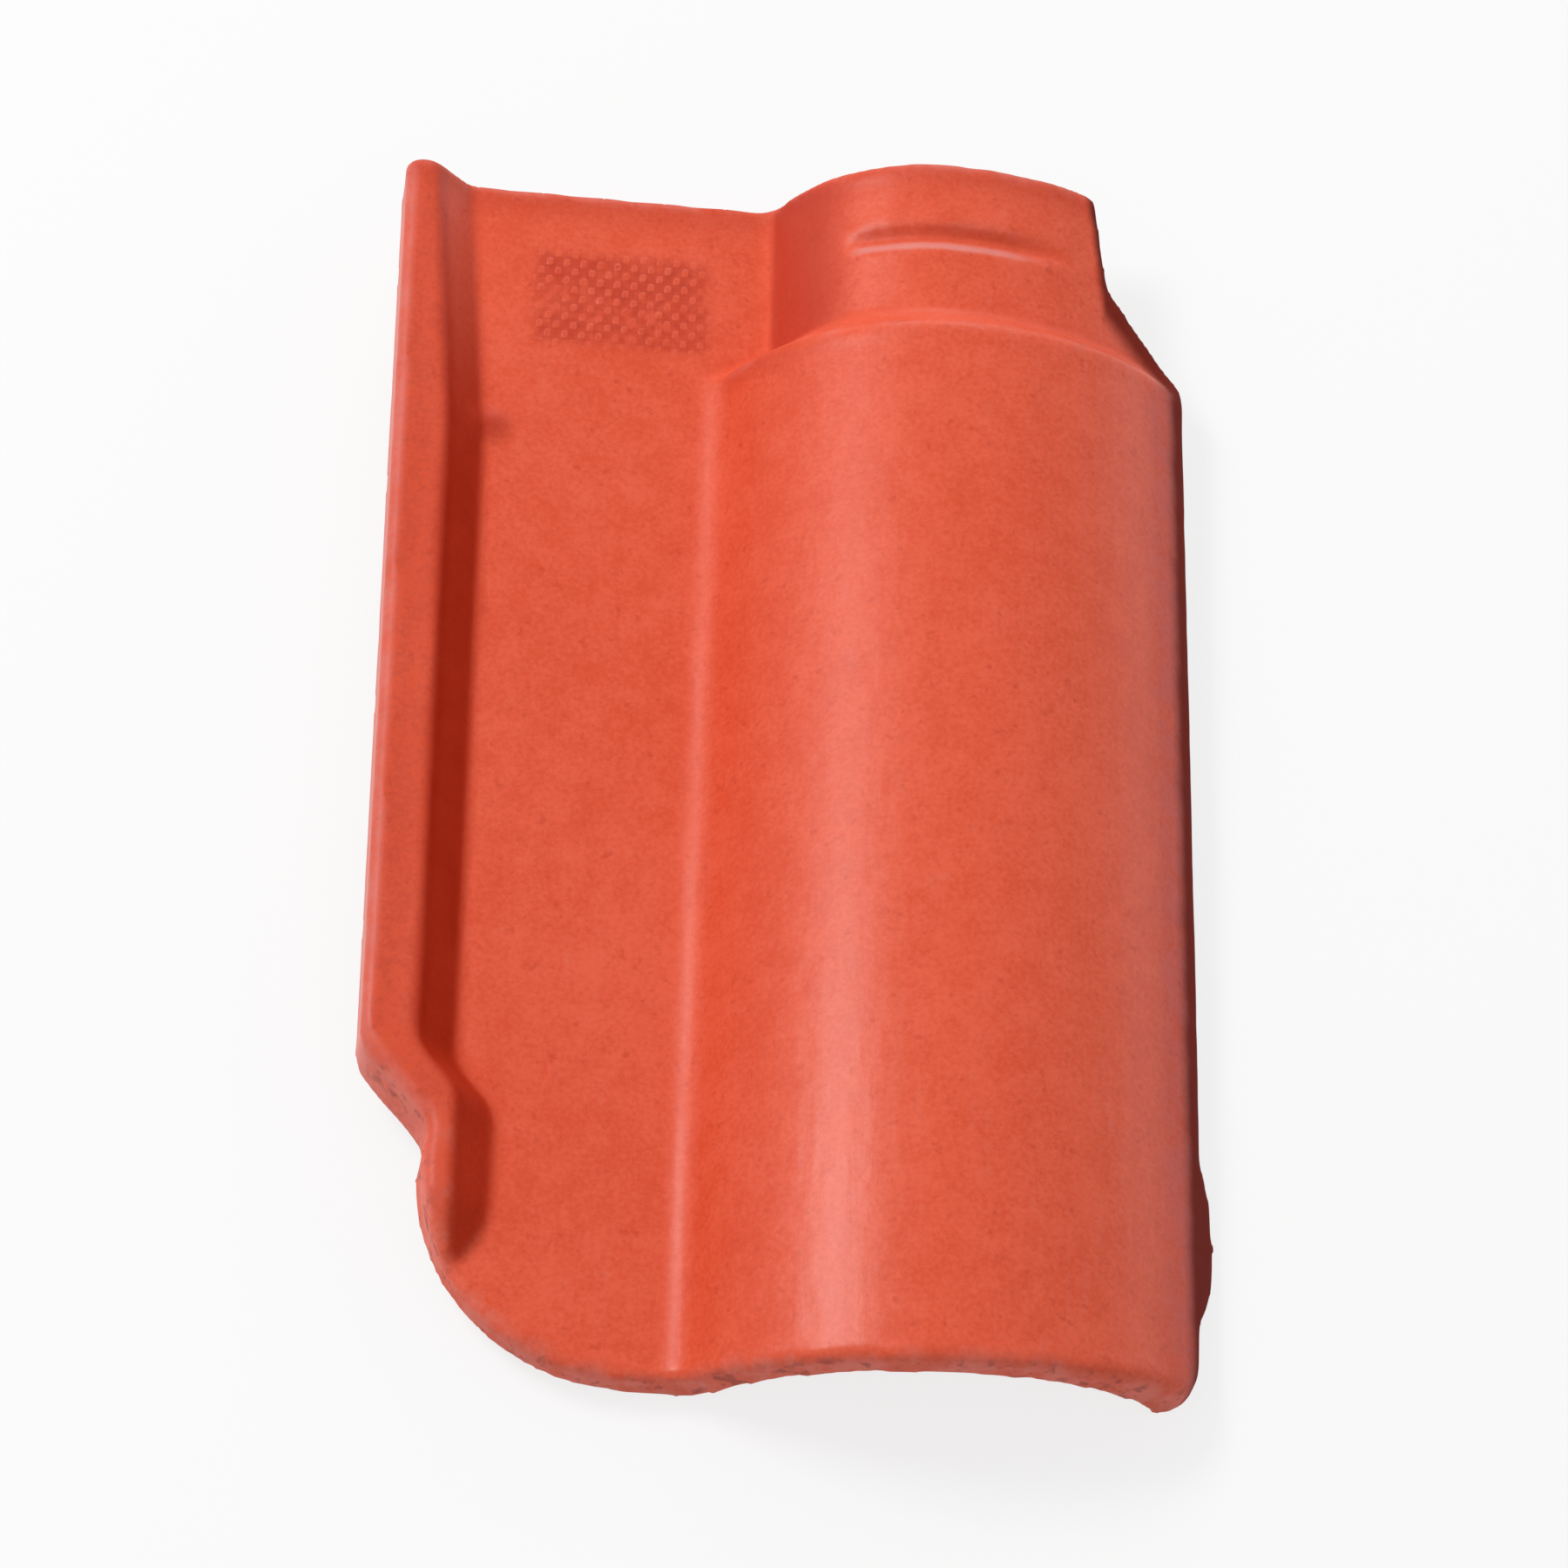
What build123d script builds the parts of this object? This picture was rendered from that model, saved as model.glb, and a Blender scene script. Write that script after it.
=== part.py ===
from build123d import *
from math import asin, cos, radians, sin, sqrt, tan
import os

# Overall sizes of the tile, in millimetres, with X across, Y towards the head and Z up
tile_length = 400.0         # crown of the nose to the head edge
tile_width = 239.4          # outer face of the side rib to the edge of the skirt
wall = 11.2                 # pan, cover and neck alike

# Cover: a shallow barrel to the right of the flat pan
pan_width = 92.8            # side of the tile to the crease where the barrel rises, at the nose
cover_taper = 5.2           # the pan widens and the barrel narrows by this much up to the shoulder
cover_rise = 43.0           # crown above the top of the pan
crease_round = 14.0
underside_round = 12.0      # under the crease
skirt_wall = 14.5           # the wall thickens to this at the skirt edge
skirt_gap = 1.5             # skirt edge above the top of the next tile's pan
skirt_round = 1.5           # lower outer edge of the skirt

# Neck: the stepped-down head of the barrel, which goes under the next row's cover
neck_length = 53.0
neck_rise = 34.8            # crown above the top of the pan
neck_inset = 16.0           # its crease, in from the barrel's
neck_crown_inset = 5.5      # its crown, towards the pan from the barrel's
neck_edge_drop = 10.6       # from its crown to its outer edge
neck_arc_share = 1.23       # its arc runs on past that edge before it straightens
neck_crease_round = 8.0
head_round = 2.0            # rim of the head
shoulder_length = 13.0
shoulder_steps = 6

# Shallow groove across the neck, which runs out at both ends
groove_setback = 27.5       # from the head edge
groove_depth = 1.8
groove_round = 6.0
groove_reach = 19.0         # full depth this far to each side of the crown
groove_run_out = 22.0

# Rib: the upstand of the side lock, which jogs inwards near the nose and then falls to the pan
rib_height = 12.5
rib_crest = 15.0            # flat top and its rounded edges
rib_head_crest = 8.0        # narrowed to this at the head edge
rib_taper_length = 92.0     # narrowed part
rib_low_crest = 5.5         # after the jog
rib_low_length = 48.0       # start of the jog to where the rib begins to fall
rib_end_length = 18.0
rib_end_height = 0.6        # what is left of the rib beyond its fall
rib_slope = 45.0            # degrees of the inner flank
rib_round = 3.0             # both edges of the crest
rib_hollow = 5.0            # inner foot
rib_steps = 18
side_round = 3.0            # lower edge of the side

# Plan outline
jog_start = 92.6            # side of the tile turns in this far from the pan's nose
jog_width = 18.8
jog_length = 24.5
jog_waist = 2.2             # the jog cuts in this much deeper than the side after it
jog_waist_length = 8.1      # the side is out again after this
jog_ease = 4.5              # half the length of a bend
pan_corner = 60.0           # large rounded corner of the pan's nose, measured across the pan
nose_bow = 6.4              # crown of the nose ahead of the pan's nose
nose_corner = 13.0          # rounded corner of the skirt
skirt_taper = 2.5           # skirt drawn in at the nose
lobe_reach = 4.5            # bulge of the skirt around the next tile's rib
lobe_length = 50.0
lobe_middle = 49.0          # from the pan's nose
lobe_lip = 2.0              # the barrel comes down to the pan's level this far outside the lobe
neck_cut = 29.3             # skirt of the neck is cut back this far at the head edge
neck_flare = 4.1            # the cut comes out again by this much along the neck
neck_cut_length = 33.0
corner_cut_length = 25.0    # slanting cut from the neck to the full width
neck_corner_round = 16.0
body_corner_round = 4.0

# Batten nib under the head of the pan
nib_width = 42.0
nib_length = 15.0
nib_crest = 8.0             # flat foot, before the slope
nib_height = 8.0
nib_setback = 28.0          # bearing face from the head edge
nib_inset = 74.0            # middle of the nib from the side of the tile

overrun = 25.0              # spare length of cutting shapes
pan_split_share = 0.6       # the rib's strip takes this much of the pan

# Places that follow from the sizes
side = tile_width / 2
head = tile_length / 2
nose = -head
pan_nose = nose + nose_bow
crease = -side + pan_width
split = -side + pan_split_share * pan_width
cover_end = side + lobe_reach + lobe_lip
cover_crown = (crease + cover_end) / 2
cover_radius = ((cover_crown - crease) ** 2 + cover_rise**2) / (2 * cover_rise)
neck_foot = crease + cover_taper + neck_inset
neck_crown = cover_crown - neck_crown_inset
neck_reach = side - neck_cut - neck_crown
neck_radius = (neck_reach**2 + neck_edge_drop**2) / (2 * neck_edge_drop)
shoulder_head = head - neck_length
shoulder_nose = shoulder_head - shoulder_length
skirt_level = wall + skirt_gap
low_side = -side + jog_width
lobe = pan_nose + lobe_middle
jog = pan_nose + jog_start
jog_end = jog - jog_length
corner_level = jog_end - jog_waist_length
rib_fall = jog - rib_low_length
rib_end = rib_fall - rib_end_length


def corner_rounded(face, corner, radius):
    """Round the corner of a flat face that is nearest to a point."""
    return fillet(face.vertices().sort_by_distance(corner)[0:1], radius)


def across(y):
    """Plane that cuts across the tile, with its own Y up."""
    return Plane((0, y, 0), x_dir=(1, 0, 0), z_dir=(0, -1, 0))


def left_radius(rise, crown, foot):
    """Radius of an arc that leaves the crown level and comes down to the foot."""
    return ((crown - foot) ** 2 + rise**2) / (2 * rise)


def underside_foot(rise, crown, foot):
    """Where the underside of the barrel would meet the underside of the pan."""
    radius = left_radius(rise, crown, foot) - wall
    return crown - sqrt(radius**2 - (rise - radius) ** 2)


def barrel_foot(y):
    """Crease of the barrel, which runs out towards the side as it nears the nose."""
    return crease + cover_taper * (y - nose) / (shoulder_nose - nose)


def cover_section(y, share):
    """Pan and cover, cut across the tile: share is 0 on the barrel, 1 on the neck."""

    def between(barrel, neck):
        return barrel + share * (neck - barrel)

    rise = between(cover_rise, neck_rise)
    foot = between(barrel_foot(y), neck_foot)
    crown = between(cover_crown, neck_crown)
    radius = between(cover_radius, neck_radius)
    top = wall + rise
    inner_foot = underside_foot(rise, crown, foot)
    reach = between(side - cover_crown, neck_arc_share * neck_reach)
    lean = asin(reach / radius)
    across_wall = Vector(sin(lean), cos(lean)) * between(skirt_wall, wall)
    outer_edge = Vector(crown + reach, top - radius * (1 - cos(lean)))
    outer_end = outer_edge + Vector(1, -tan(lean)) * (cover_end - outer_edge.X)
    inner_edge = outer_edge - across_wall
    inner_end = outer_end - across_wall
    face = make_face(
        [
            Line((split, 0), (inner_foot, 0)),
            TangentArc((crown, rise), (inner_foot, 0), tangent=(-1, 0)),
            TangentArc((crown, rise), inner_edge, tangent=(1, 0)),
            Polyline(inner_edge, inner_end, outer_end, outer_edge),
            TangentArc((crown, top), outer_edge, tangent=(1, 0)),
            TangentArc((crown, top), (foot, wall), tangent=(-1, 0)),
            Line((foot, wall), (split, wall)),
            Line((split, wall), (split, 0)),
        ]
    )
    face = corner_rounded(face, (foot, wall), between(crease_round, neck_crease_round))
    face = corner_rounded(face, (inner_foot, 0), underside_round)
    return across(y) * face


def pan_and_cover():
    """Barrel, shoulder and neck with the pan beside them."""
    barrel = loft([cover_section(y, 0) for y in (nose - overrun, shoulder_nose)], ruled=True)
    neck = extrude(cover_section(head, 1), neck_length, dir=(0, -1, 0))
    shares = [step / shoulder_steps for step in range(shoulder_steps + 1)]
    shoulder = loft([cover_section(shoulder_nose + s * shoulder_length, s * s * (3 - 2 * s)) for s in shares])
    return barrel + shoulder + neck


def bend(distance):
    """How far a line has turned off after a bend, which is eased on both sides."""
    if abs(distance) < jog_ease:
        return (distance + jog_ease) ** 2 / (4 * jog_ease)
    return max(distance, 0)


def rib_section(y):
    """Rib and the strip of pan beside it, cut across the tile."""
    cut = (jog_width + jog_waist) / jog_length
    flare = jog_waist / jog_waist_length
    inner_jog = (jog_width + jog_waist - rib_crest + rib_low_crest) / cut
    taper = (rib_crest - rib_head_crest) / rib_taper_length
    fall = (rib_height - rib_end_height) / rib_end_length
    outer = -side + cut * bend(jog - y) - (cut + flare) * bend(jog_end - y)
    inner = -side + rib_crest + cut * (bend(jog - y) - bend(jog - inner_jog - y))
    inner -= taper * max(y - head + rib_taper_length, 0)
    height = rib_height - fall * (bend(rib_fall - y) - bend(rib_end - y))
    height_share = height / rib_height
    foot = inner + height / tan(radians(rib_slope))
    top = wall + height
    points = [(outer, 0), (split, 0), (split, wall), (foot, wall), (inner, top), (outer, top)]
    face = make_face(Polyline(*points, close=True))
    for corner, radius in (
        ((foot, wall), height_share * rib_hollow),
        ((inner, top), height_share * rib_round),
        ((outer, top), height_share * rib_round),
        ((outer, 0), side_round),
    ):
        face = corner_rounded(face, corner, radius)
    return across(y) * face


def rib():
    """Upstand with a sloping inner flank, along the straight side, the jog and the nose."""
    start = jog + jog_ease
    end = rib_end - jog_ease
    straight = loft([rib_section(y) for y in (head + overrun, head - rib_taper_length, start)], ruled=True)
    shares = [step / rib_steps for step in range(rib_steps + 1)]
    low = loft([rib_section(start + s * (end - start)) for s in shares])
    return straight + low + extrude(rib_section(end), end - nose + overrun, dir=(0, -1, 0))


def outline():
    """Plan of the tile, from above, with room for the rib's own side."""
    outside = -side - overrun
    waist = (jog_end + corner_level) / 2
    neck_side = side - neck_cut + neck_flare
    neck_corner = head - neck_cut_length
    body_corner = neck_corner - corner_cut_length
    lobe_head = (side, lobe + lobe_length / 2)
    lobe_nose = (side - skirt_taper / 2, lobe - lobe_length / 2)
    skirt_nose = (side - skirt_taper, pan_nose)
    corner_middle = (low_side + pan_corner, corner_level)
    corner_start = (low_side + pan_corner, pan_nose)
    corner_end = (low_side, corner_level)
    face = make_face(
        [
            Line((crease, pan_nose), corner_start),
            EllipticalCenterArc(corner_middle, pan_corner, corner_level - pan_nose, start_angle=180),
            Polyline(
                corner_end,
                (low_side, waist),
                (outside, waist),
                (outside, head),
                (side - neck_cut, head),
                (neck_side, neck_corner),
                (side, body_corner),
                lobe_head,
            ),
            ThreePointArc(lobe_head, (side + lobe_reach, lobe), lobe_nose),
            Line(lobe_nose, skirt_nose),
            ThreePointArc(skirt_nose, (cover_crown, nose), (crease, pan_nose)),
        ]
    )
    face = corner_rounded(face, skirt_nose, nose_corner)
    face = corner_rounded(face, (side, body_corner), body_corner_round)
    return corner_rounded(face, (neck_side, neck_corner), neck_corner_round)


def groove():
    """Cutter for the groove: a round bar bent along the neck, straight where it runs out."""
    top = wall + neck_rise
    lift = groove_round - groove_depth
    path = []
    for radius, way in ((left_radius(neck_rise, neck_crown, neck_foot), -1), (neck_radius, 1)):
        turn = asin(groove_reach / radius)
        drop = (radius + lift) * (1 - cos(turn))
        end = Vector(neck_crown + way * (radius + lift) * sin(turn), top + lift - drop)
        run_out = end + Vector(way * cos(turn), -sin(turn)) * groove_run_out
        path += [TangentArc((neck_crown, top + lift), end, tangent=(way, 0)), Line(end, run_out)]
    line = across(head - groove_setback) * Wire(path)
    return sweep(Plane(line @ 0, z_dir=line % 0) * Circle(groove_round), line)


def nib():
    """Hook under the pan: a square face bears on the roof batten, with a slope behind it."""
    bearing = head - nib_setback
    crest_end = bearing + nib_crest
    points = [(bearing, 0), (bearing, -nib_height), (crest_end, -nib_height), (bearing + nib_length, 0)]
    profile = Plane.YZ.offset(-side + nib_inset) * make_face(Polyline(*points, close=True))
    return extrude(profile, nib_width / 2, both=True)


def clay_roof_tile():
    """The whole tile, pressed and fired in one piece, with its pan level."""
    height = wall + cover_rise + rib_height
    tile = pan_and_cover() + rib()
    tile &= extrude(Pos(0, 0, -height) * outline(), 2 * height, dir=(0, 0, 1))
    tile -= Pos(cover_crown, nose - overrun, skirt_level - height) * Box(
        tile_width, tile_length + 2 * overrun, height, align=Align.MIN
    )
    tile = tile - groove() + nib()
    skirt_edge = (side, 0, skirt_level)
    skirt = tile.faces().filter_by(Axis.Z).sort_by_distance(skirt_edge)[0]
    tile = fillet(skirt.edges().sort_by_distance(skirt_edge)[0:1], skirt_round)
    return fillet(tile.faces().sort_by(Axis.Y)[-1].edges(), head_round)


def resting(tile):
    """Lay the level tile on the floor, where its nib, pan nose and skirt lobe carry it."""
    foot = barrel_foot(pan_nose)
    inner_foot = underside_foot(cover_rise, cover_crown, foot)
    slope = asin((cover_crown - inner_foot) / (left_radius(cover_rise, cover_crown, foot) - wall))
    nib_foot = Vector(-side + nib_inset + nib_width / 2, head - nib_setback, -nib_height)
    nose_foot = Vector(inner_foot - underside_round * tan(slope / 2), pan_nose, 0)
    lobe_foot = Vector(side + lobe_reach - skirt_round, lobe, skirt_level)
    up = (lobe_foot - nose_foot).cross(nib_foot - nose_foot)
    floor = Plane(origin=nose_foot, x_dir=Vector(0, 1, 0).cross(up), z_dir=up)
    tile = floor.to_local_coords(tile)
    box = tile.bounding_box()
    return Pos(-box.center().X, -box.center().Y, -box.min.Z) * tile


os.makedirs("parts", exist_ok=True)
export_step(resting(clay_roof_tile()), "parts/clay_roof_tile.step")
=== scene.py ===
import math

import bpy
from mathutils import Matrix, Vector


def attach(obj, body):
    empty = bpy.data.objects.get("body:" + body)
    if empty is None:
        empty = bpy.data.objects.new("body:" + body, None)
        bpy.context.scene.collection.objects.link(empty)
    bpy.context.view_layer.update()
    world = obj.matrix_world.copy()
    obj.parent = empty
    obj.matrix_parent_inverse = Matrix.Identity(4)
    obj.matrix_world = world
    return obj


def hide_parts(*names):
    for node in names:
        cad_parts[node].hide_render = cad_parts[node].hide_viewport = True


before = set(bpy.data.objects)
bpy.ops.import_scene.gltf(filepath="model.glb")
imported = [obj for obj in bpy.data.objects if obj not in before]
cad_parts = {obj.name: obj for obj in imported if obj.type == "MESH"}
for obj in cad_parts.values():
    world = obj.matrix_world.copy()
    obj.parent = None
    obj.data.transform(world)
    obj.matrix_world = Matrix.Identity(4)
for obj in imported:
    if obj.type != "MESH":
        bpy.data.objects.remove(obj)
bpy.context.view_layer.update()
MM = 0.001

# Where the level tile lies in the stored frame: the tile leans on its nib, nose and skirt
LEVEL_ORIGIN = Vector((-45.7, 172.0, -4.0))
REST_ORIGIN = Vector((-48.933, 172.552, 6.34))
LEVEL_ACROSS = Vector((0.99581, 0.00206, -0.09146))
LEVEL_ALONG = Vector((0.0, 0.99975, 0.02251))
LEVEL_UP = Vector((0.09148, -0.02242, 0.99555))

# Camera, in degrees and millimetres
CAMERA_ELEVATION = 59.41
CAMERA_AZIMUTH = -4.04
CAMERA_ROLL = 5.49
CAMERA_DISTANCE = 1697.0
CAMERA_AIM = (-2.2, -8.8, 25.0)
CAMERA_LENS = 134.26
CAMERA_SENSOR = 36.0

# Even skin of the fired clay
SKIN_DEPTH = 8              # the grid has two to this power of cells
SKIN_SHARE = 0.925          # the tile's length fills this share of it

# Plan of the level tile, in millimetres, for the places of its wear and of its painted shade and highlights
SIDE = 119.7
PAN_TOP = 11.2
JOG = -101.0
NECK_CORNER = (93.5, 166.0)
NECK_TOP = 46.0
NECK_SIDE_WAY = (0.993, 0.119)      # out of the neck's side, in plan
CUT_WAY = (0.704, 0.710)            # out of the slanting cut beside the neck, in plan
NECK_FOOT = -12.0
STAMP_LEFT, STAMP_RIGHT = -82.0, -22.0
STAMP_NOSE, STAMP_HEAD = 142.0, 181.0
PIP_ACROSS, PIP_ALONG = 5.2, 6.5
# Small lump beside the rib's foot, darkened with painted shade
NUB = (-90.0, 113.0)
# Places of the painted highlight on the groove's lip and the painted shade on its wall
GROOVE_LIP, GROOVE_WALL = 169.3, 175.0
GROOVE_LEFT, GROOVE_RIGHT = 8.0, 74.0

# Bands of the level tile, in millimetres: where a mask starts, and where it is full
TRIMMED_BAND = (JOG + 5.0, JOG - 12.0)
# Bands of the painted shade on the rib's inner flank
FLANK_BAND = (-66.0, -80.0)
FLANK_FADE = (230.0, 80.0)
FLANK_JOG_FADE = (JOG - 30.0, JOG)
# Bands of the painted shade on the barrel's and the neck's left slopes
RISE_BAND = (-60.0, -35.0)
NECK_WALL_BAND = (126.0, 142.0)
NECK_FOOT_BAND = (128.0, 140.0)
CREST_BAND = (-92.0, -99.0)
CREST_LEVEL = (PAN_TOP + 7.0, PAN_TOP + 11.0)
# Band of the painted highlight on the rib's outer ridge
RIDGE_BAND = (-96.0, -106.0)
# Band of the painted reflection on the barrel's right flank
BROW_BAND = (80.0, 95.0)
BRIM_BAND = (184.0, 199.0)
POLISH_BAND = (20.0, -170.0)
GROOVE_LEVEL = (NECK_TOP - 10.0, NECK_TOP - 7.0)
GROOVE_LINE = (2.4, 0.6)

# Colours of the clay, as linear shares of red, green and blue
CLAY_DEEP = (0.675, 0.072, 0.024, 1.0)
CLAY_PALE = (0.775, 0.112, 0.052, 1.0)
# Dark red, for random specks and spots and for painted shade
SHADED = (0.42, 0.024, 0.006, 1.0)
# Pale pink, for scuffs and worn rims and for painted highlights
BLOOM_AND_HIGHLIGHT = (0.66, 0.20, 0.17, 1.0)
# Pale lilac, for a painted reflection of the pale room on a steep flank
REFLECTED_LILAC = (0.62, 0.135, 0.125, 1.0)
# Dark maroon, for painted shade on faces turned from the light
MAROON_SHADE = (0.15, 0.016, 0.012, 1.0)
TRIMMED = (0.78, 0.19, 0.14, 1.0)
SMOKED = (0.22, 0.035, 0.028, 1.0)
WHITE = (1.0, 1.0, 1.0, 1.0)


class Wire:
    """A node's output, with arithmetic that adds Math nodes to its tree."""

    def __init__(self, bench, socket):
        self.bench = bench
        self.socket = socket

    def maths(self, operation, first, second):
        return self.bench.node("ShaderNodeMath", {"operation": operation}, {0: first, 1: second})

    def __add__(self, other):
        return self.maths("ADD", self, other)

    def __radd__(self, other):
        return self.maths("ADD", other, self)

    def __sub__(self, other):
        return self.maths("SUBTRACT", self, other)

    def __rsub__(self, other):
        return self.maths("SUBTRACT", other, self)

    def __mul__(self, other):
        return self.maths("MULTIPLY", self, other)

    def __rmul__(self, other):
        return self.maths("MULTIPLY", other, self)

    def __truediv__(self, other):
        return self.maths("DIVIDE", self, other)

    def __rtruediv__(self, other):
        return self.maths("DIVIDE", other, self)

    def __neg__(self):
        return self.maths("MULTIPLY", self, -1.0)

    def sine(self):
        return self.maths("SINE", self, 0.0)

    def size(self):
        return self.maths("ABSOLUTE", self, 0.0)

    def most(self, other):
        return self.maths("MAXIMUM", self, other)

    def least(self, other):
        return self.maths("MINIMUM", self, other)


class Bench:
    """Adds nodes to one tree, of a material or of Geometry Nodes."""

    def __init__(self, tree):
        self.tree = tree

    def node(self, kind, settings=None, sockets=None, output=0):
        made = self.tree.nodes.new(kind)
        for name, value in (settings or {}).items():
            setattr(made, name, value)
        for name, value in (sockets or {}).items():
            socket = made.inputs[name]
            if isinstance(value, Wire):
                self.tree.links.new(value.socket, socket)
            else:
                socket.default_value = value
        if output is None:
            return made
        return Wire(self, made.outputs[output])

    def ease(self, value, start, end):
        """0 at start, 1 at end, smooth between."""
        settings = {"interpolation_type": "SMOOTHSTEP"}
        return self.node("ShaderNodeMapRange", settings, {"Value": value, "From Min": start, "From Max": end})

    def mix(self, share, low, high):
        """Colour between two others."""
        settings = {"data_type": "RGBA"}
        made = self.node("ShaderNodeMix", settings, {"Factor": share}, None)
        for place, value in ((6, low), (7, high)):
            if isinstance(value, Wire):
                self.tree.links.new(value.socket, made.inputs[place])
            else:
                made.inputs[place].default_value = value
        return Wire(self, made.outputs[2])

    def noise(self, where, length, detail=2.0, roughness=0.5, seed=0.0):
        """Soft random value from 0 to 1, with lumps of about that length in millimetres."""
        settings = {"noise_dimensions": "4D"}
        sockets = {"Vector": where, "W": seed, "Scale": 1.0 / (length * MM), "Detail": detail, "Roughness": roughness}
        return self.node("ShaderNodeTexNoise", settings, sockets)

    def dot(self, first, second):
        return self.node("ShaderNodeVectorMath", {"operation": "DOT_PRODUCT"}, {0: first, 1: second}, "Value")

    def vector(self, operation, first, second):
        return self.node("ShaderNodeVectorMath", {"operation": operation}, {0: first, 1: second})

    def stretched(self, where, shares):
        """The same place, with each axis scaled."""
        return self.node("ShaderNodeMapping", {"vector_type": "POINT"}, {"Vector": where, "Scale": shares})


def level_place(bench, where):
    """Millimetres across, along and up on the level tile, from a place in the stored frame."""
    origin = REST_ORIGIN * MM
    moved = bench.vector("SUBTRACT", where, tuple(origin))
    axes = (LEVEL_ACROSS, LEVEL_ALONG, LEVEL_UP)
    return [bench.dot(moved, tuple(axis / MM)) + offset for axis, offset in zip(axes, LEVEL_ORIGIN)]


def pressed_pips(bench, across, along):
    """1 on each pip of the press's patch, 0 between them."""
    turn = 2.0 * math.pi
    row = (across * (turn / PIP_ACROSS)).sine() * (along * (turn / PIP_ALONG)).sine()
    return bench.ease(row, 0.05, 0.55)


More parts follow.
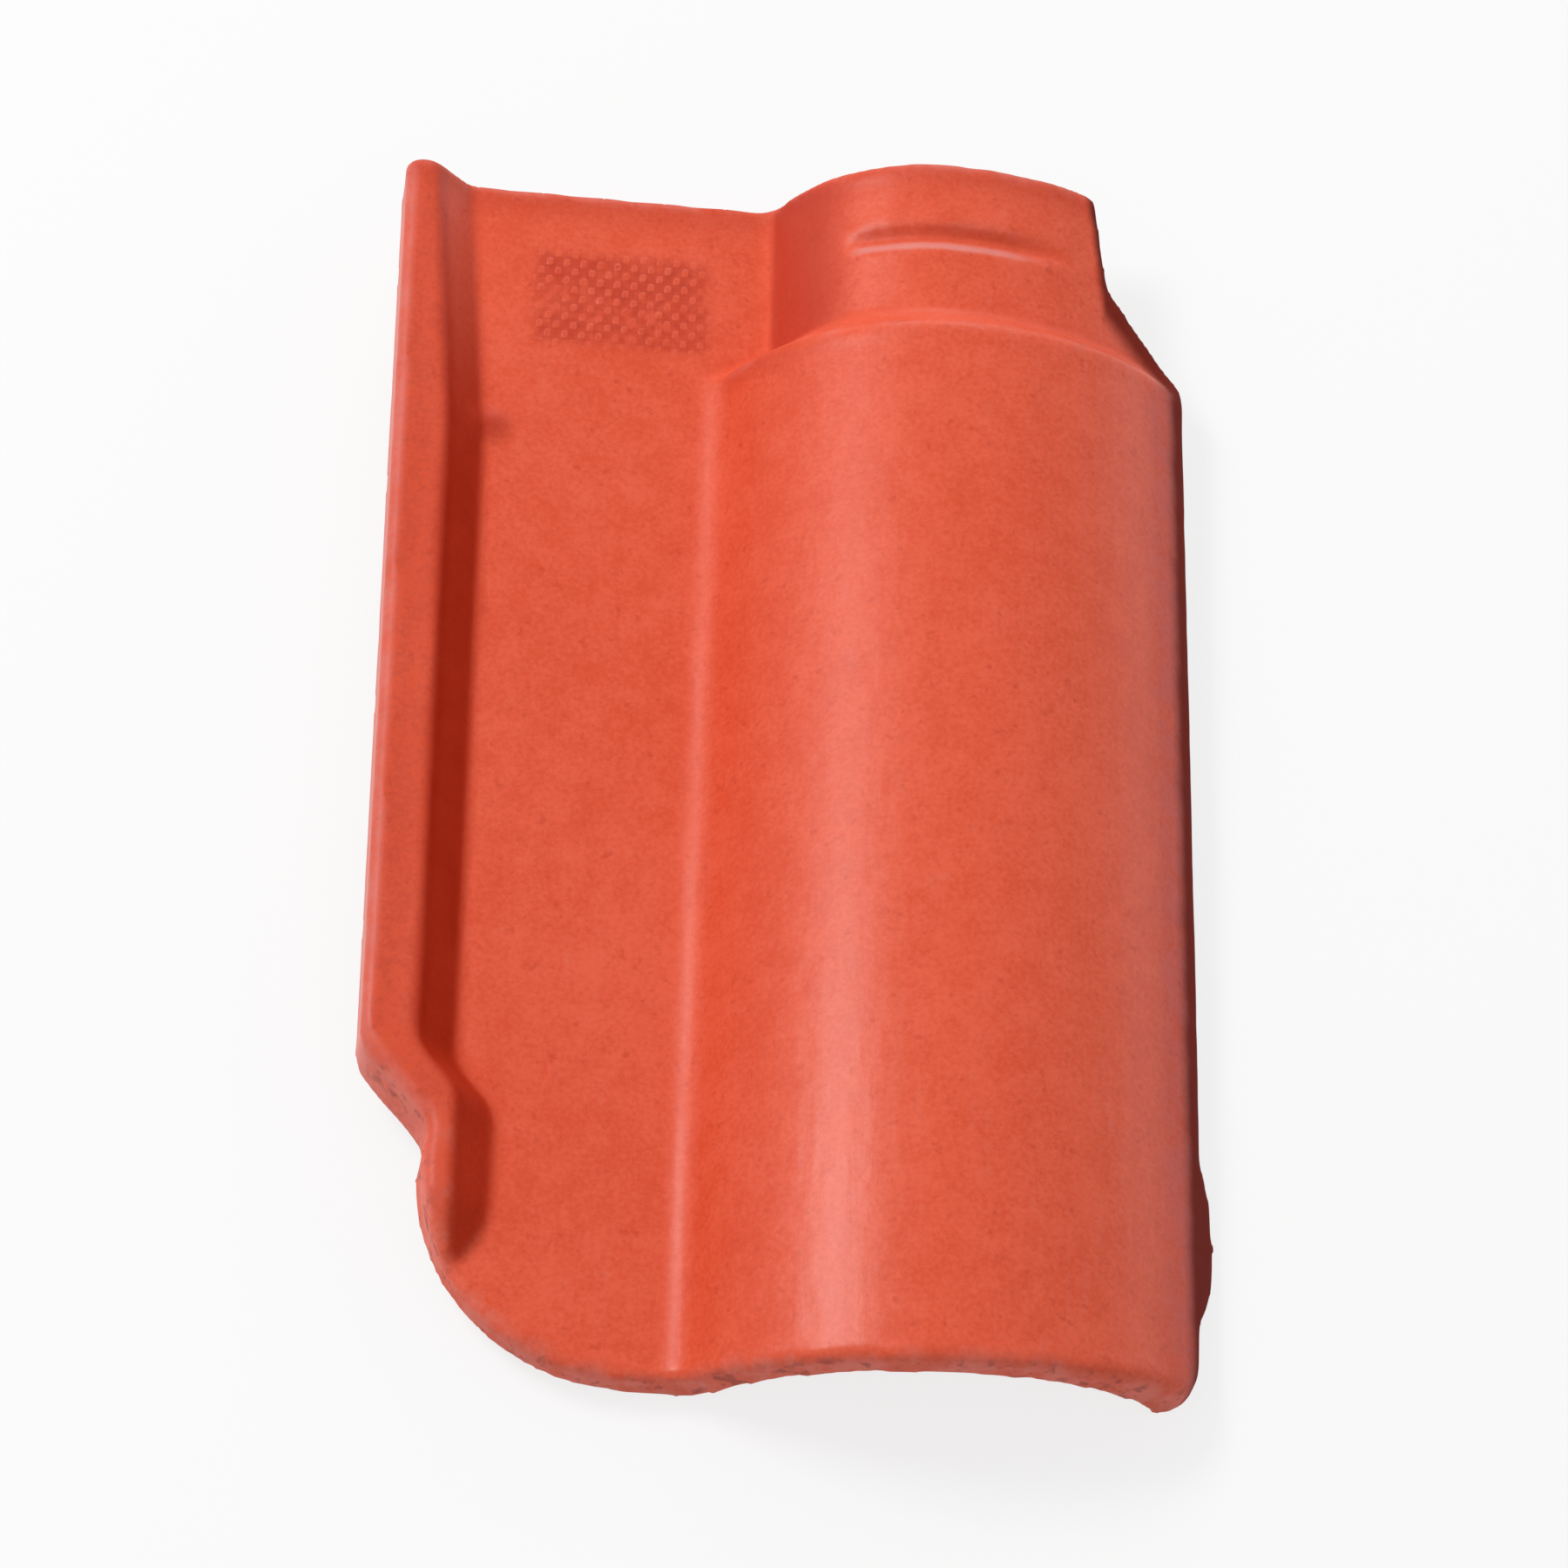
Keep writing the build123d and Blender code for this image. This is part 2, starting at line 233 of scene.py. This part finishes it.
def clay_surface_tree():
    """Relief of the pressed and fired clay on the tile's even skin."""
    tree = bpy.data.node_groups.new("clay_surface", "GeometryNodeTree")
    tree.interface.new_socket("Geometry", in_out="INPUT", socket_type="NodeSocketGeometry")
    sizes = (
        ("Wave height", 0.30),
        ("Wave length", 70.0),
        ("Grain height", 0.10),
        ("Grain length", 9.0),
        ("Trim height", 0.45),
        ("Trim length", 6.0),
        ("Chip depth", 0.25),
        ("Chip length", 10.0),
        ("Pip height", 0.45),
        ("Rim fill", 0.9),
        ("Nub height", 1.2),
        ("Nub reach", 8.5),
    )
    for name, value in sizes:
        made = tree.interface.new_socket(name, in_out="INPUT", socket_type="NodeSocketFloat")
        made.default_value = value
    tree.interface.new_socket("Material", in_out="INPUT", socket_type="NodeSocketMaterial")
    tree.interface.new_socket("Geometry", in_out="OUTPUT", socket_type="NodeSocketGeometry")
    bench = Bench(tree)
    given = bench.node("NodeGroupInput", output=None)
    size = {name: Wire(bench, given.outputs[name]) for name, value in sizes}
    place = bench.node("GeometryNodeInputPosition")
    facing = bench.node("GeometryNodeInputNormal")
    across, along, up = level_place(bench, place)
    upward = bench.dot(facing, tuple(LEVEL_UP))
    outward = bench.dot(facing, tuple(LEVEL_ACROSS))

    def lumps(length, detail, seed):
        """Soft random value about zero."""
        return bench.noise(place, length, detail, 0.5, seed) - 0.5

    def blurred(value, kind, rounds, weight=1.0):
        """Mean of each point with its neighbours."""
        sockets = {"Value": value, "Iterations": rounds, "Weight": weight}
        return bench.node("GeometryNodeBlurAttribute", {"data_type": kind}, sockets)

    around = blurred(place, "FLOAT_VECTOR", 10)
    bulge = bench.dot(bench.vector("SUBTRACT", place, around), facing) / MM
    rim = bench.ease(bulge, 0.12, 0.7)
    hollow = bench.ease(-bulge, 0.08, 0.5)
    low = bench.ease(along, *TRIMMED_BAND)
    trimmed = bench.ease(upward.size(), 0.45, 0.2) * low
    stamp = (
        bench.ease(across, STAMP_LEFT, STAMP_LEFT + 7.0)
        * bench.ease(across, STAMP_RIGHT, STAMP_RIGHT - 7.0)
        * bench.ease(along, STAMP_NOSE, STAMP_NOSE + 6.0)
        * bench.ease(along, STAMP_HEAD, STAMP_HEAD - 6.0)
        * bench.ease(upward, 0.7, 0.9)
    )
    nub_way = bench.node("ShaderNodeCombineXYZ", None, {"X": across - NUB[0], "Y": along - NUB[1]})
    nub_far = bench.node("ShaderNodeVectorMath", {"operation": "LENGTH"}, {0: nub_way}, "Value")
    nub = bench.ease(nub_far / size["Nub reach"], 1.0, 0.1) * bench.ease(upward, 0.3, 0.7)
    rounding = blurred(rim, "FLOAT", 3) * (0.09 + low * (0.05 + 0.26 * bench.ease(upward, -0.1, 0.3)))
    shape = Wire(bench, given.outputs["Geometry"])
    masks = (
        ("rim", blurred(rim, "FLOAT", 1)),
        ("full", blurred(rim, "FLOAT", 3)),
        ("hollow", hollow),
        ("trimmed", blurred(trimmed, "FLOAT", 2)),
        ("stamp", stamp),
        ("outward", blurred(outward, "FLOAT", 5)),
        ("nub", nub),
    )
    for name, value in masks:
        shape = bench.node(
            "GeometryNodeStoreNamedAttribute",
            {"data_type": "FLOAT", "domain": "POINT"},
            {"Geometry": shape, "Name": name, "Value": value},
        )
    eased = blurred(place, "FLOAT_VECTOR", 9, rounding)
    shape = bench.node("GeometryNodeSetPosition", None, {"Geometry": shape, "Position": eased})

    def kept(name):
        return bench.node("GeometryNodeInputNamedAttribute", {"data_type": "FLOAT"}, {"Name": name})

    wave = lumps(size["Wave length"], 1.0, 3.0) * size["Wave height"]
    grain = lumps(size["Grain length"], 3.0, 7.0) * size["Grain height"]
    tear = lumps(size["Trim length"], 1.0, 11.0) * size["Trim height"] * kept("trimmed")
    chip = bench.ease(lumps(size["Chip length"], 1.0, 5.0), -0.05, 0.25) * size["Chip depth"] * kept("rim")
    pips = pressed_pips(bench, across, along) * size["Pip height"] * kept("stamp")
    fill = size["Rim fill"] * kept("full")
    lift = (wave + grain + tear - chip + fill + pips + size["Nub height"] * kept("nub")) * MM
    offset = bench.node("ShaderNodeVectorMath", {"operation": "SCALE"}, {"Vector": facing, "Scale": lift})
    shape = bench.node("GeometryNodeSetPosition", None, {"Geometry": shape, "Offset": offset})
    softened = blurred(place, "FLOAT_VECTOR", 4, 0.4 * kept("full"))
    shape = bench.node("GeometryNodeSetPosition", None, {"Geometry": shape, "Position": softened})
    shape = bench.node("GeometryNodeSetShadeSmooth", None, {"Geometry": shape, "Shade Smooth": True})
    shape = bench.node("GeometryNodeRealizeInstances", None, {"Geometry": shape})
    material = Wire(bench, given.outputs["Material"])
    shape = bench.node("GeometryNodeSetMaterial", None, {"Geometry": shape, "Material": material})
    bench.node("NodeGroupOutput", None, {"Geometry": shape}, None)
    return tree


def fired_clay():
    """Salmon-red fired clay with a dull sheen, worn rims and rough trimmed edges; painted shade on the rib's flank,
    the left slopes, the hollows and the right edges, painted highlights on the rib's ridge and the groove's lip, and
    a painted reflection on the barrel's right flank.
    """
    material = bpy.data.materials.new("fired_clay")
    material.use_nodes = True
    bench = Bench(material.node_tree)
    material.node_tree.nodes.remove(material.node_tree.nodes["Principled BSDF"])
    place = bench.node("ShaderNodeTexCoord", output="Object")
    across, along, up = level_place(bench, place)

    def mask(name):
        return bench.node("ShaderNodeAttribute", {"attribute_name": name}, output="Fac")

    rim = mask("rim")
    trimmed = mask("trimmed")
    stamp = mask("stamp")
    outward = mask("outward")
    clouds = bench.noise(place, 60.0, 2.0, 0.5, 1.0)
    mottle = bench.noise(place, 9.0, 4.0, 0.6, 2.0)
    fine = bench.noise(place, 1.6, 3.0, 0.65, 3.0)
    drawn = bench.noise(bench.stretched(place, (1.0, 0.06, 1.0)), 2.5, 3.0, 0.6, 4.0)
    wiped = bench.noise(bench.stretched(place, (0.08, 1.0, 0.3)), 2.0, 3.0, 0.6, 5.0)
    blots = bench.noise(place, 12.0, 4.0, 0.65, 6.0)
    specks = bench.noise(place, 3.0, 2.0, 0.5, 8.0)
    pips = pressed_pips(bench, across, along)

    tone = bench.ease(clouds * 0.2 + mottle * 0.34 + fine * 0.46, 0.36, 0.64)
    colour = bench.mix(tone, CLAY_DEEP, CLAY_PALE)
    scuff = bench.ease(drawn * 0.6 + wiped * 0.4, 0.53, 0.72) * bench.ease(clouds, 0.35, 0.6)
    colour = bench.mix(scuff * 0.2, colour, BLOOM_AND_HIGHLIGHT)
    colour = bench.mix(bench.ease(specks, 0.6, 0.74) * 0.3, colour, SHADED)
    hollow = mask("hollow")
    # Painted shade in the crease, the feet of the rib and shoulder and the other hollows
    colour = bench.mix(hollow * 0.35, colour, CLAY_DEEP)
    # Painted shade on the rib's inner flank, which faces away from the light, fading towards the head and at the jog
    flank_shade = bench.ease(outward, 0.06, 0.68) * bench.ease(across, *FLANK_BAND)
    flank_shade = flank_shade * (0.65 + 0.4 * mottle) * bench.ease(along, *FLANK_FADE)
    flank_shade = flank_shade * (0.8 + 0.2 * bench.ease(along, *FLANK_JOG_FADE))
    colour = bench.mix(flank_shade, colour, SHADED)
    # Painted shade on the barrel's and the neck's left slopes, stronger along the neck's wall
    rise = bench.ease(outward, -0.45, -0.75) * bench.ease(across, *RISE_BAND)
    colour = bench.mix(rise * (0.15 + 0.6 * bench.ease(along, *NECK_WALL_BAND)), colour, SHADED)
    crest = bench.ease(up, *CREST_LEVEL) * bench.ease(across, *CREST_BAND)
    crest_specks = 0.05 + 0.5 * bench.ease(fine * 0.6 + mottle * 0.4, 0.36, 0.62)
    colour = bench.mix(crest * crest_specks, colour, SHADED)
    brim = bench.ease(along, *BRIM_BAND) * (0.15 + 0.4 * mottle)
    colour = bench.mix(brim, colour, SHADED)
    # Painted highlight along the groove's lower lip and painted shade on its upper wall
    groove = bench.ease(across, GROOVE_LEFT, GROOVE_LEFT + 12.0)
    groove = groove * bench.ease(across, GROOVE_RIGHT, GROOVE_RIGHT - 16.0) * bench.ease(up, *GROOVE_LEVEL)
    lip_highlight = groove * bench.ease((along - GROOVE_LIP).size(), *GROOVE_LINE)
    groove_wall_shade = groove * bench.ease((along - GROOVE_WALL).size(), *GROOVE_LINE)
    colour = bench.mix(lip_highlight * 0.8, colour, BLOOM_AND_HIGHLIGHT)
    colour = bench.mix(groove_wall_shade * 0.35, colour, SHADED)
    # Darker stamp patch, with worn spots where painted shade darkens the hollows between the pips
    worn_and_hollow_shade = stamp * bench.ease(blots * 0.6 + specks * 0.4, 0.34, 0.56)
    colour = bench.mix(0.16 * stamp + worn_and_hollow_shade * (0.45 - 0.45 * pips), colour, SHADED)
    # Painted shade on the nub and around it
    colour = bench.mix(mask("nub") * (0.35 + 0.8 * mottle), colour, SHADED)
    # Painted highlight on the rib's outer ridge and painted reflection on the barrel's right flank, both in patches
    ridge_highlight = bench.ease(outward, -0.1, -0.6) * bench.ease(across, *RIDGE_BAND)
    brow_reflection = bench.ease(outward, 0.58, 0.7) * bench.ease(across, *BROW_BAND)
    painted_light_patches = 0.2 + 0.75 * bench.ease(blots * 0.6 + fine * 0.4, 0.36, 0.64)
    colour = bench.mix(ridge_highlight * painted_light_patches * 0.6, colour, BLOOM_AND_HIGHLIGHT)
    colour = bench.mix(brow_reflection * painted_light_patches * 0.8, colour, REFLECTED_LILAC)
    colour = bench.mix(rim * bench.ease(blots, 0.45, 0.6) * (0.25 - 0.25 * crest), colour, BLOOM_AND_HIGHLIGHT)
    colour = bench.mix(trimmed * (0.35 + 0.6 * bench.ease(blots, 0.4, 0.6)), colour, TRIMMED)
    soot = trimmed * bench.ease(specks * 0.5 + mottle * 0.5, 0.5, 0.62)
    colour = bench.mix(soot * 0.6, colour, SMOKED)

    def inside(way):
        """Distance in from an edge that passes the neck's corner."""
        return (NECK_CORNER[0] - across) * way[0] + (NECK_CORNER[1] - along) * way[1]

    # Painted shade on strips along the neck's side, the slanting cut and the skirt's edge, which turn from the light
    neck_side_shade = bench.ease(inside(NECK_SIDE_WAY) + 2.0 * mottle, 4.0, 0.5)
    cut_shade = bench.ease(inside(CUT_WAY) + 4.0 * mottle, 13.5, 4.5)
    skirt_shade = bench.ease(SIDE - across + 2.0 * mottle, 8.6, 3.2)
    edge_shade = neck_side_shade.least(cut_shade).most(skirt_shade)
    colour = bench.mix(edge_shade * 0.9, colour, MAROON_SHADE)
    neck_foot = bench.ease(along, *NECK_FOOT_BAND) * bench.ease((across - NECK_FOOT).size(), 22.0, 12.0)
    polish = 0.05 * bench.ease(along, *POLISH_BAND)
    roughness = 0.33 + 0.08 * mottle + 0.05 * drawn + 0.3 * trimmed + 0.1 * rim
    roughness = roughness + 0.25 * neck_foot + 0.12 * hollow - polish
    relief = 0.5 * fine + 0.35 * drawn + 0.25 * wiped + 1.2 * trimmed * mottle + 1.5 * worn_and_hollow_shade * pips
    bump = bench.node("ShaderNodeBump", None, {"Strength": 0.4, "Distance": 0.25 * MM, "Height": relief})
    sheen = bench.node(
        "ShaderNodeBsdfPrincipled",
        None,
        {"Base Color": colour, "Roughness": roughness, "Specular IOR Level": 0.25, "Normal": bump},
    )
    dull = bench.node(
        "ShaderNodeBsdfPrincipled",
        None,
        {"Base Color": colour, "Roughness": 0.9, "Specular IOR Level": 0.0, "Normal": bump},
    )
    dulled = (0.9 * edge_shade).most(0.85 * flank_shade).most(0.5 * brow_reflection)
    surface = bench.node("ShaderNodeMixShader", None, {0: dulled, 1: sheen, 2: dull})
    material.node_tree.links.new(surface.socket, material.node_tree.nodes["Material Output"].inputs["Surface"])
    return material


def evaluated_mesh(piece):
    """Plain mesh of a piece with its modifiers carried out."""
    graph = bpy.context.evaluated_depsgraph_get()
    return bpy.data.meshes.new_from_object(piece.evaluated_get(graph), depsgraph=graph)


def make_tile(clay):
    """The tile with an even skin, eased rims and the clay's own relief."""
    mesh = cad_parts["clay_roof_tile"].data.copy()
    mesh.name = "tile"
    tile = bpy.data.objects.new("tile", mesh)
    bpy.context.collection.objects.link(tile)
    weld = tile.modifiers.new("joined triangles", "WELD")
    weld.merge_threshold = 0.001 * MM
    skin = tile.modifiers.new("even skin", "REMESH")
    skin.mode = "SHARP"
    skin.octree_depth = SKIN_DEPTH
    skin.scale = SKIN_SHARE
    skin.use_smooth_shade = True
    relief = tile.modifiers.new("clay surface", "NODES")
    relief.node_group = clay_surface_tree()
    for socket in relief.node_group.interface.items_tree:
        if socket.in_out == "INPUT" and socket.name == "Material":
            relief[socket.identifier] = clay
    tile.data = evaluated_mesh(tile)
    tile.modifiers.clear()
    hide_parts("clay_roof_tile")
    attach(tile, "root")


def seen_by_eye(bench):
    """1 on rays that show the room itself, straight or in a reflection."""
    rays = bench.node("ShaderNodeLightPath", output=None)
    straight, glossy, through = (
        Wire(bench, rays.outputs[name]) for name in ("Is Camera Ray", "Is Glossy Ray", "Is Transmission Ray")
    )
    return straight.most(glossy).most(through)


def floor_material():
    """White floor that keeps the shadow."""
    material = bpy.data.materials.new("white_floor")
    material.use_nodes = True
    bench = Bench(material.node_tree)
    matt = bench.node("ShaderNodeBsdfDiffuse", None, {"Color": (0.8, 0.8, 0.8, 1.0)})
    white = bench.node("ShaderNodeEmission", None, {"Color": WHITE, "Strength": 1.0})
    floor = bench.node("ShaderNodeMixShader", None, {0: 0.8 * seen_by_eye(bench), 1: matt, 2: white})
    output = material.node_tree.nodes["Material Output"]
    material.node_tree.links.new(floor.socket, output.inputs["Surface"])
    return material


def make_floor():
    """Square floor under the tile, in metres."""
    half = 4.0
    mesh = bpy.data.meshes.new("floor")
    mesh.from_pydata([(-half, -half, 0), (half, -half, 0), (half, half, 0), (-half, half, 0)], [], [(0, 1, 2, 3)])
    mesh.materials.append(floor_material())
    floor = bpy.data.objects.new("floor", mesh)
    bpy.context.collection.objects.link(floor)


def make_world():
    """White room: plain light all round, pure white where the camera sees it."""
    world = bpy.data.worlds.new("white_room")
    world.use_nodes = True
    bench = Bench(world.node_tree)
    background = world.node_tree.nodes["Background"]
    background.inputs["Color"].default_value = WHITE
    strength = 0.48 + 0.52 * seen_by_eye(bench)
    world.node_tree.links.new(strength.socket, background.inputs["Strength"])
    bpy.context.scene.world = world


def soft_lamp(name, place, aim, width, height, power):
    """Soft box that faces a point, in metres and watts."""
    lamp = bpy.data.lights.new(name, "AREA")
    lamp.shape = "RECTANGLE"
    lamp.size = width
    lamp.size_y = height
    lamp.energy = power
    holder = bpy.data.objects.new(name, lamp)
    holder.location = place
    holder.rotation_euler = (Vector(aim) - Vector(place)).to_track_quat("-Z", "Y").to_euler()
    bpy.context.collection.objects.link(holder)


def make_lights():
    """Large soft box over the left of the head, with two weak ones low at the side and at the head."""
    middle = (0.0, 0.0, 0.03)
    soft_lamp("key", (-1.42, 0.76, 1.95), middle, 1.0, 0.6, 40.0)
    soft_lamp("side_fill", (1.5, 0.85, 0.2), middle, 0.8, 0.3, 2.0)
    soft_lamp("head_fill", (0.1, 1.9, 0.6), middle, 1.2, 0.3, 6.0)


def make_camera():
    """Camera at the photograph's viewing angle, for a square picture."""
    rise = math.radians(CAMERA_ELEVATION)
    round_ = math.radians(CAMERA_AZIMUTH)
    roll = math.radians(CAMERA_ROLL)
    back = Vector((math.sin(round_) * math.cos(rise), -math.cos(round_) * math.cos(rise), math.sin(rise)))
    level = Vector((math.cos(round_), math.sin(round_), 0.0))
    upright = back.cross(level)
    right = math.cos(roll) * level + math.sin(roll) * upright
    top = math.cos(roll) * upright - math.sin(roll) * level
    lens = bpy.data.cameras.new("camera")
    lens.lens = CAMERA_LENS
    lens.sensor_width = CAMERA_SENSOR
    camera = bpy.data.objects.new("camera", lens)
    turn = Matrix((right, top, back)).transposed().to_4x4()
    camera.matrix_world = Matrix.Translation((Vector(CAMERA_AIM) + back * CAMERA_DISTANCE) * MM) @ turn
    bpy.context.collection.objects.link(camera)
    bpy.context.scene.camera = camera


bpy.context.scene.view_settings.view_transform = "Standard"
make_tile(fired_clay())
make_floor()
make_world()
make_lights()
make_camera()
